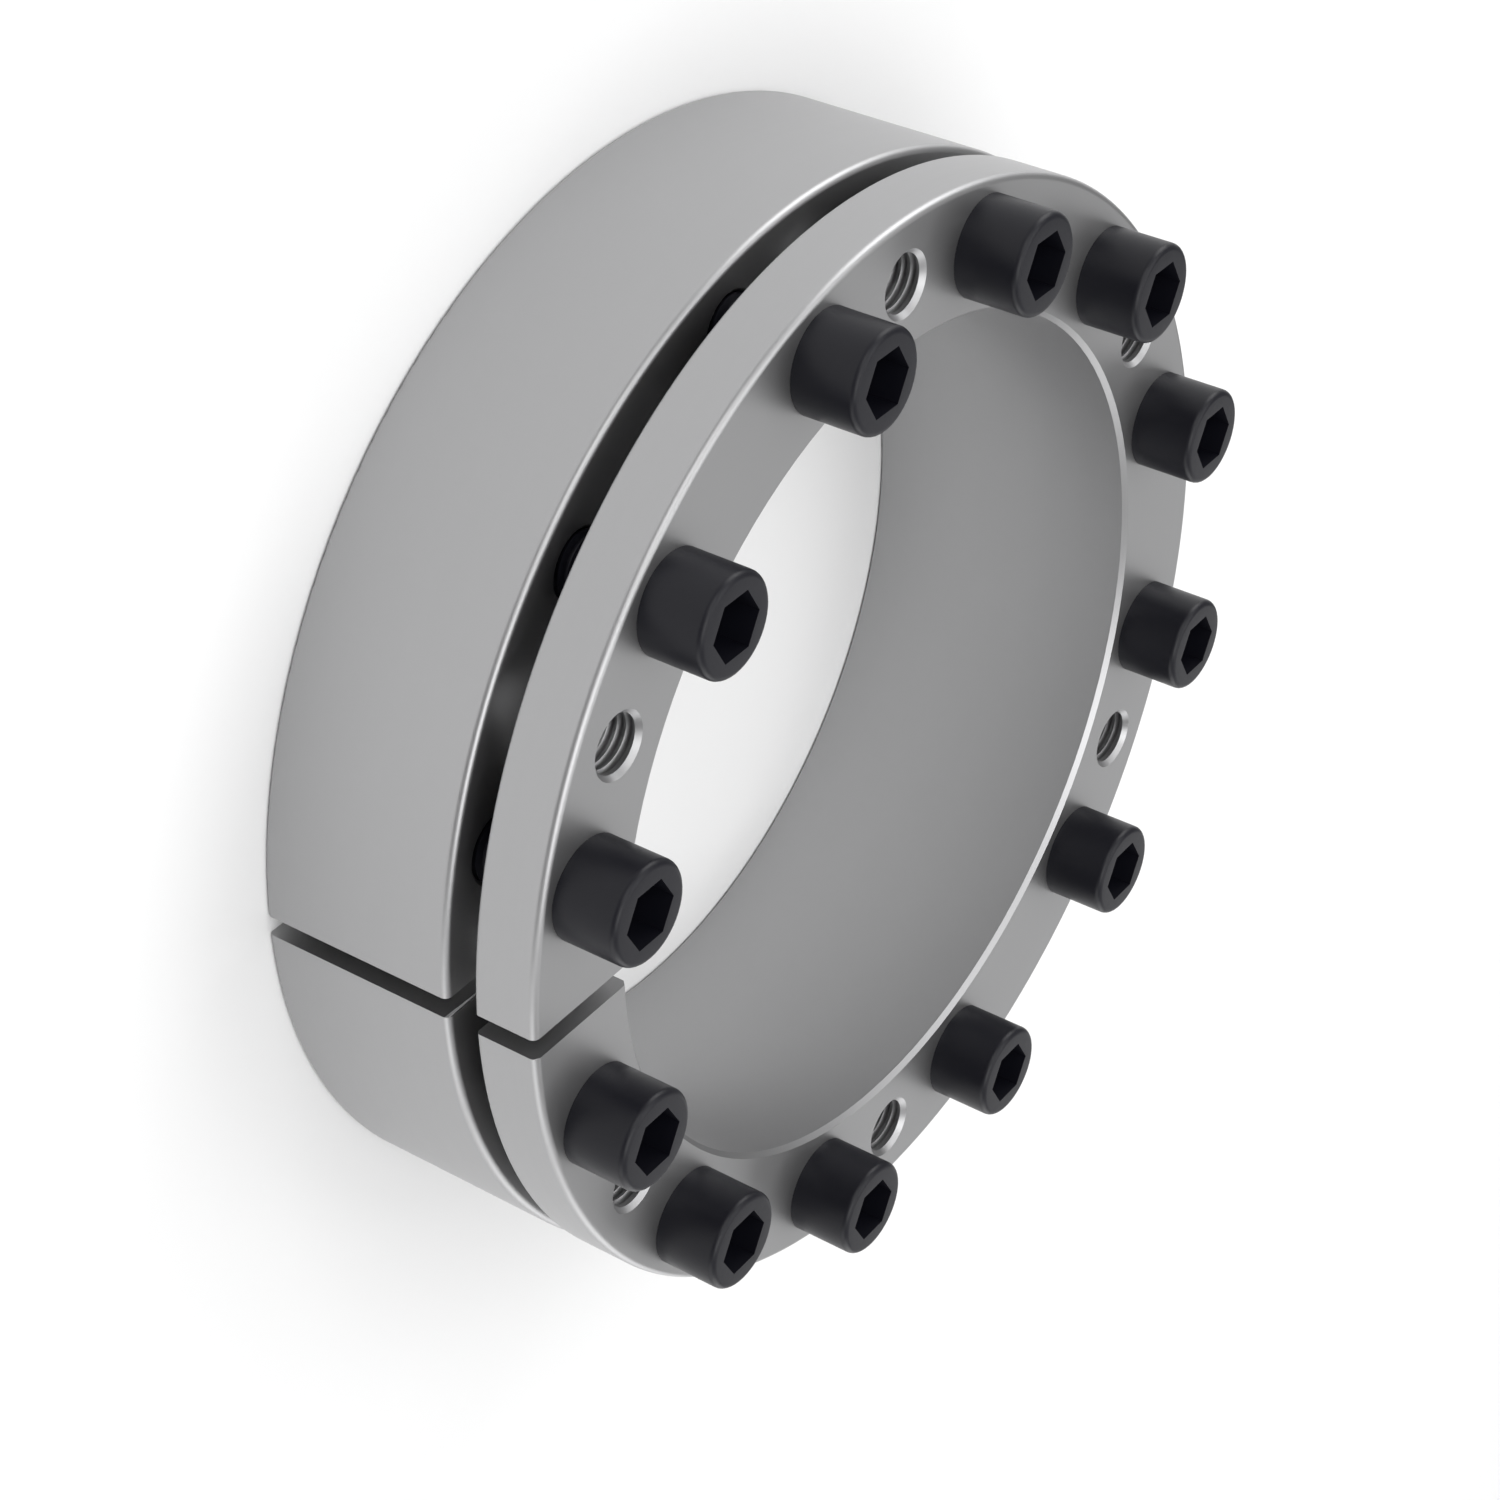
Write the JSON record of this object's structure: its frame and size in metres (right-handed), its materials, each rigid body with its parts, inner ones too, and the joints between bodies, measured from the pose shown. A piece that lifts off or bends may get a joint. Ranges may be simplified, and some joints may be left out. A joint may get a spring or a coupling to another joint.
{
  "type": "shaft locking assembly",
  "caption": "Keyless shaft locking assembly: slit flanged inner cone ring in a slit outer ring, drawn together by socket head screws, with tapped jacking holes in the flange.",
  "frame": {"origin": "on the axis, at the rear face of the outer ring that the assembly stands on", "axes": "+Z along the shaft axis towards the flange and the screw heads; the slits face -Y"},
  "size_m": [0.235, 0.235, 0.0785],
  "materials": {
    "ring_steel": "satin turned steel",
    "black_oxide_steel": "black oxide"
  },
  "bodies": {
    "outer": {"outer_ring": "ring_steel"},
    "inner": {"inner_ring": "ring_steel"},
    "screw_01": {"screw_01": "black_oxide_steel"},
    "screw_02": {"screw_02": "black_oxide_steel"},
    "screw_03": {"screw_03": "black_oxide_steel"},
    "screw_04": {"screw_04": "black_oxide_steel"},
    "screw_05": {"screw_05": "black_oxide_steel"},
    "screw_06": {"screw_06": "black_oxide_steel"},
    "screw_07": {"screw_07": "black_oxide_steel"},
    "screw_08": {"screw_08": "black_oxide_steel"},
    "screw_09": {"screw_09": "black_oxide_steel"},
    "screw_10": {"screw_10": "black_oxide_steel"},
    "screw_11": {"screw_11": "black_oxide_steel"},
    "screw_12": {"screw_12": "black_oxide_steel"}
  },
  "joints": [
    {"name": "cone_draw", "type": "slide", "parent": "outer", "child": "inner", "axis": [0, 0, 1], "range_m": [-0.0015, 0.003]},
    {"name": "screw_01_turn", "type": "hinge", "parent": "inner", "child": "screw_01", "pos_m": [0.02692, -0.10046, 0.0645], "axis": [0, 0, 1], "range_deg": [-270, 540]},
    {"name": "screw_02_turn", "type": "hinge", "parent": "inner", "child": "screw_02", "pos_m": [0.07354, -0.07354, 0.0645], "axis": [0, 0, 1], "range_deg": [-270, 540]},
    {"name": "screw_03_turn", "type": "hinge", "parent": "inner", "child": "screw_03", "pos_m": [0.10046, -0.02692, 0.0645], "axis": [0, 0, 1], "range_deg": [-270, 540]},
    {"name": "screw_04_turn", "type": "hinge", "parent": "inner", "child": "screw_04", "pos_m": [0.10046, 0.02692, 0.0645], "axis": [0, 0, 1], "range_deg": [-270, 540]},
    {"name": "screw_05_turn", "type": "hinge", "parent": "inner", "child": "screw_05", "pos_m": [0.07354, 0.07354, 0.0645], "axis": [0, 0, 1], "range_deg": [-270, 540]},
    {"name": "screw_06_turn", "type": "hinge", "parent": "inner", "child": "screw_06", "pos_m": [0.02692, 0.10046, 0.0645], "axis": [0, 0, 1], "range_deg": [-270, 540]},
    {"name": "screw_07_turn", "type": "hinge", "parent": "inner", "child": "screw_07", "pos_m": [-0.02692, 0.10046, 0.0645], "axis": [0, 0, 1], "range_deg": [-270, 540]},
    {"name": "screw_08_turn", "type": "hinge", "parent": "inner", "child": "screw_08", "pos_m": [-0.07354, 0.07354, 0.0645], "axis": [0, 0, 1], "range_deg": [-270, 540]},
    {"name": "screw_09_turn", "type": "hinge", "parent": "inner", "child": "screw_09", "pos_m": [-0.10046, 0.02692, 0.0645], "axis": [0, 0, 1], "range_deg": [-270, 540]},
    {"name": "screw_10_turn", "type": "hinge", "parent": "inner", "child": "screw_10", "pos_m": [-0.10046, -0.02692, 0.0645], "axis": [0, 0, 1], "range_deg": [-270, 540]},
    {"name": "screw_11_turn", "type": "hinge", "parent": "inner", "child": "screw_11", "pos_m": [-0.07354, -0.07354, 0.0645], "axis": [0, 0, 1], "range_deg": [-270, 540]},
    {"name": "screw_12_turn", "type": "hinge", "parent": "inner", "child": "screw_12", "pos_m": [-0.02692, -0.10046, 0.0645], "axis": [0, 0, 1], "range_deg": [-270, 540]}
  ],
  "couplings": [
    {"joint": "screw_01_turn", "follows": "cone_draw", "rad_per_m": 3141.6},
    {"joint": "screw_02_turn", "follows": "cone_draw", "rad_per_m": 3141.6},
    {"joint": "screw_03_turn", "follows": "cone_draw", "rad_per_m": 3141.6},
    {"joint": "screw_04_turn", "follows": "cone_draw", "rad_per_m": 3141.6},
    {"joint": "screw_05_turn", "follows": "cone_draw", "rad_per_m": 3141.6},
    {"joint": "screw_06_turn", "follows": "cone_draw", "rad_per_m": 3141.6},
    {"joint": "screw_07_turn", "follows": "cone_draw", "rad_per_m": 3141.6},
    {"joint": "screw_08_turn", "follows": "cone_draw", "rad_per_m": 3141.6},
    {"joint": "screw_09_turn", "follows": "cone_draw", "rad_per_m": 3141.6},
    {"joint": "screw_10_turn", "follows": "cone_draw", "rad_per_m": 3141.6},
    {"joint": "screw_11_turn", "follows": "cone_draw", "rad_per_m": 3141.6},
    {"joint": "screw_12_turn", "follows": "cone_draw", "rad_per_m": 3141.6}
  ]
}
